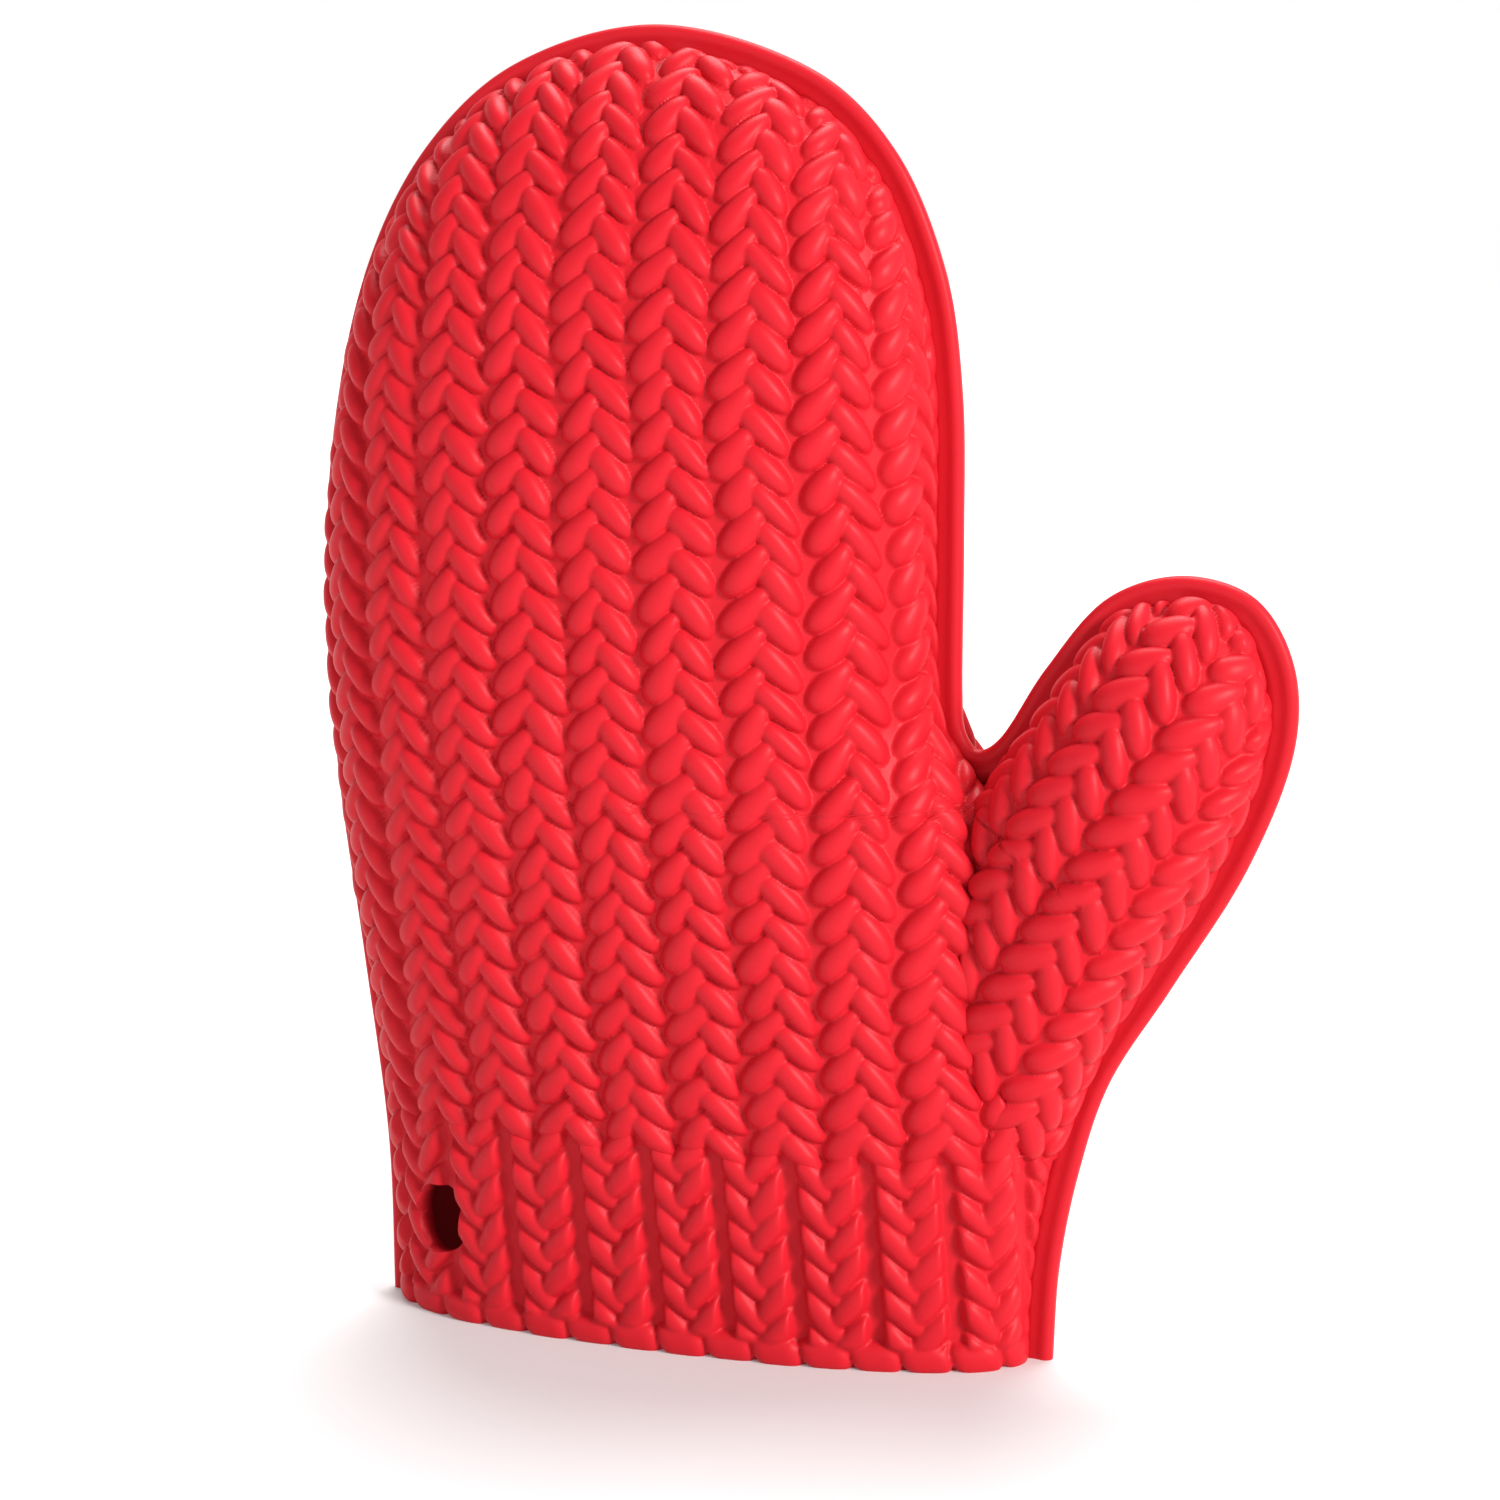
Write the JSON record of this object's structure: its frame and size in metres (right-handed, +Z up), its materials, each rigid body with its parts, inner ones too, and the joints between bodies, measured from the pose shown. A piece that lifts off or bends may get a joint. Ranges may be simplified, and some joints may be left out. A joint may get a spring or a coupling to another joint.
{
  "type": "silicone oven mitt",
  "caption": "Moulded red silicone oven mitt with knit relief, ribbed cuff, cast-off edge, flat rim seam and a hanging hole; fingers curl and thumb swings in.",
  "frame": {"origin": "under the middle of the mitt's box, on the plane of the cuff's edge", "axes": "+Z up through the fingers, +X towards the thumb, +Y out of the back half, so the palm faces -Y; the rim lies in the XZ plane"},
  "size_m": [0.2157, 0.0728, 0.28],
  "materials": {
    "silicone": "satin moulded silicone"
  },
  "bodies": {
    "palm": {"cuff_edge_front": "silicone", "cuff_edge_back": "silicone", "cuff_front": "silicone", "cuff_back": "silicone", "palm_front": "silicone", "palm_back": "silicone", "knuckle_flex_front": "silicone", "knuckle_flex_back": "silicone", "thumb_flex_front": "silicone", "thumb_flex_back": "silicone"},
    "fingers": {"fingers_front": "silicone", "fingers_back": "silicone"},
    "thumb": {"thumb_front": "silicone", "thumb_back": "silicone"}
  },
  "joints": [
    {"name": "fingers_curl", "type": "hinge", "parent": "palm", "child": "fingers", "pos_m": [-0.035, 0, 0.15], "axis": [1, 0, 0], "range_deg": [0, 45], "stiffness_Nm_per_rad": 0.6, "deforming": ["knuckle_flex_front", "knuckle_flex_back"]},
    {"name": "thumb_pinch", "type": "hinge", "parent": "palm", "child": "thumb", "pos_m": [0.0418, 0, 0.1306], "axis": [0.2538, 0, -0.9673], "range_deg": [0, 45], "stiffness_Nm_per_rad": 0.3, "deforming": ["thumb_flex_front", "thumb_flex_back"]}
  ]
}
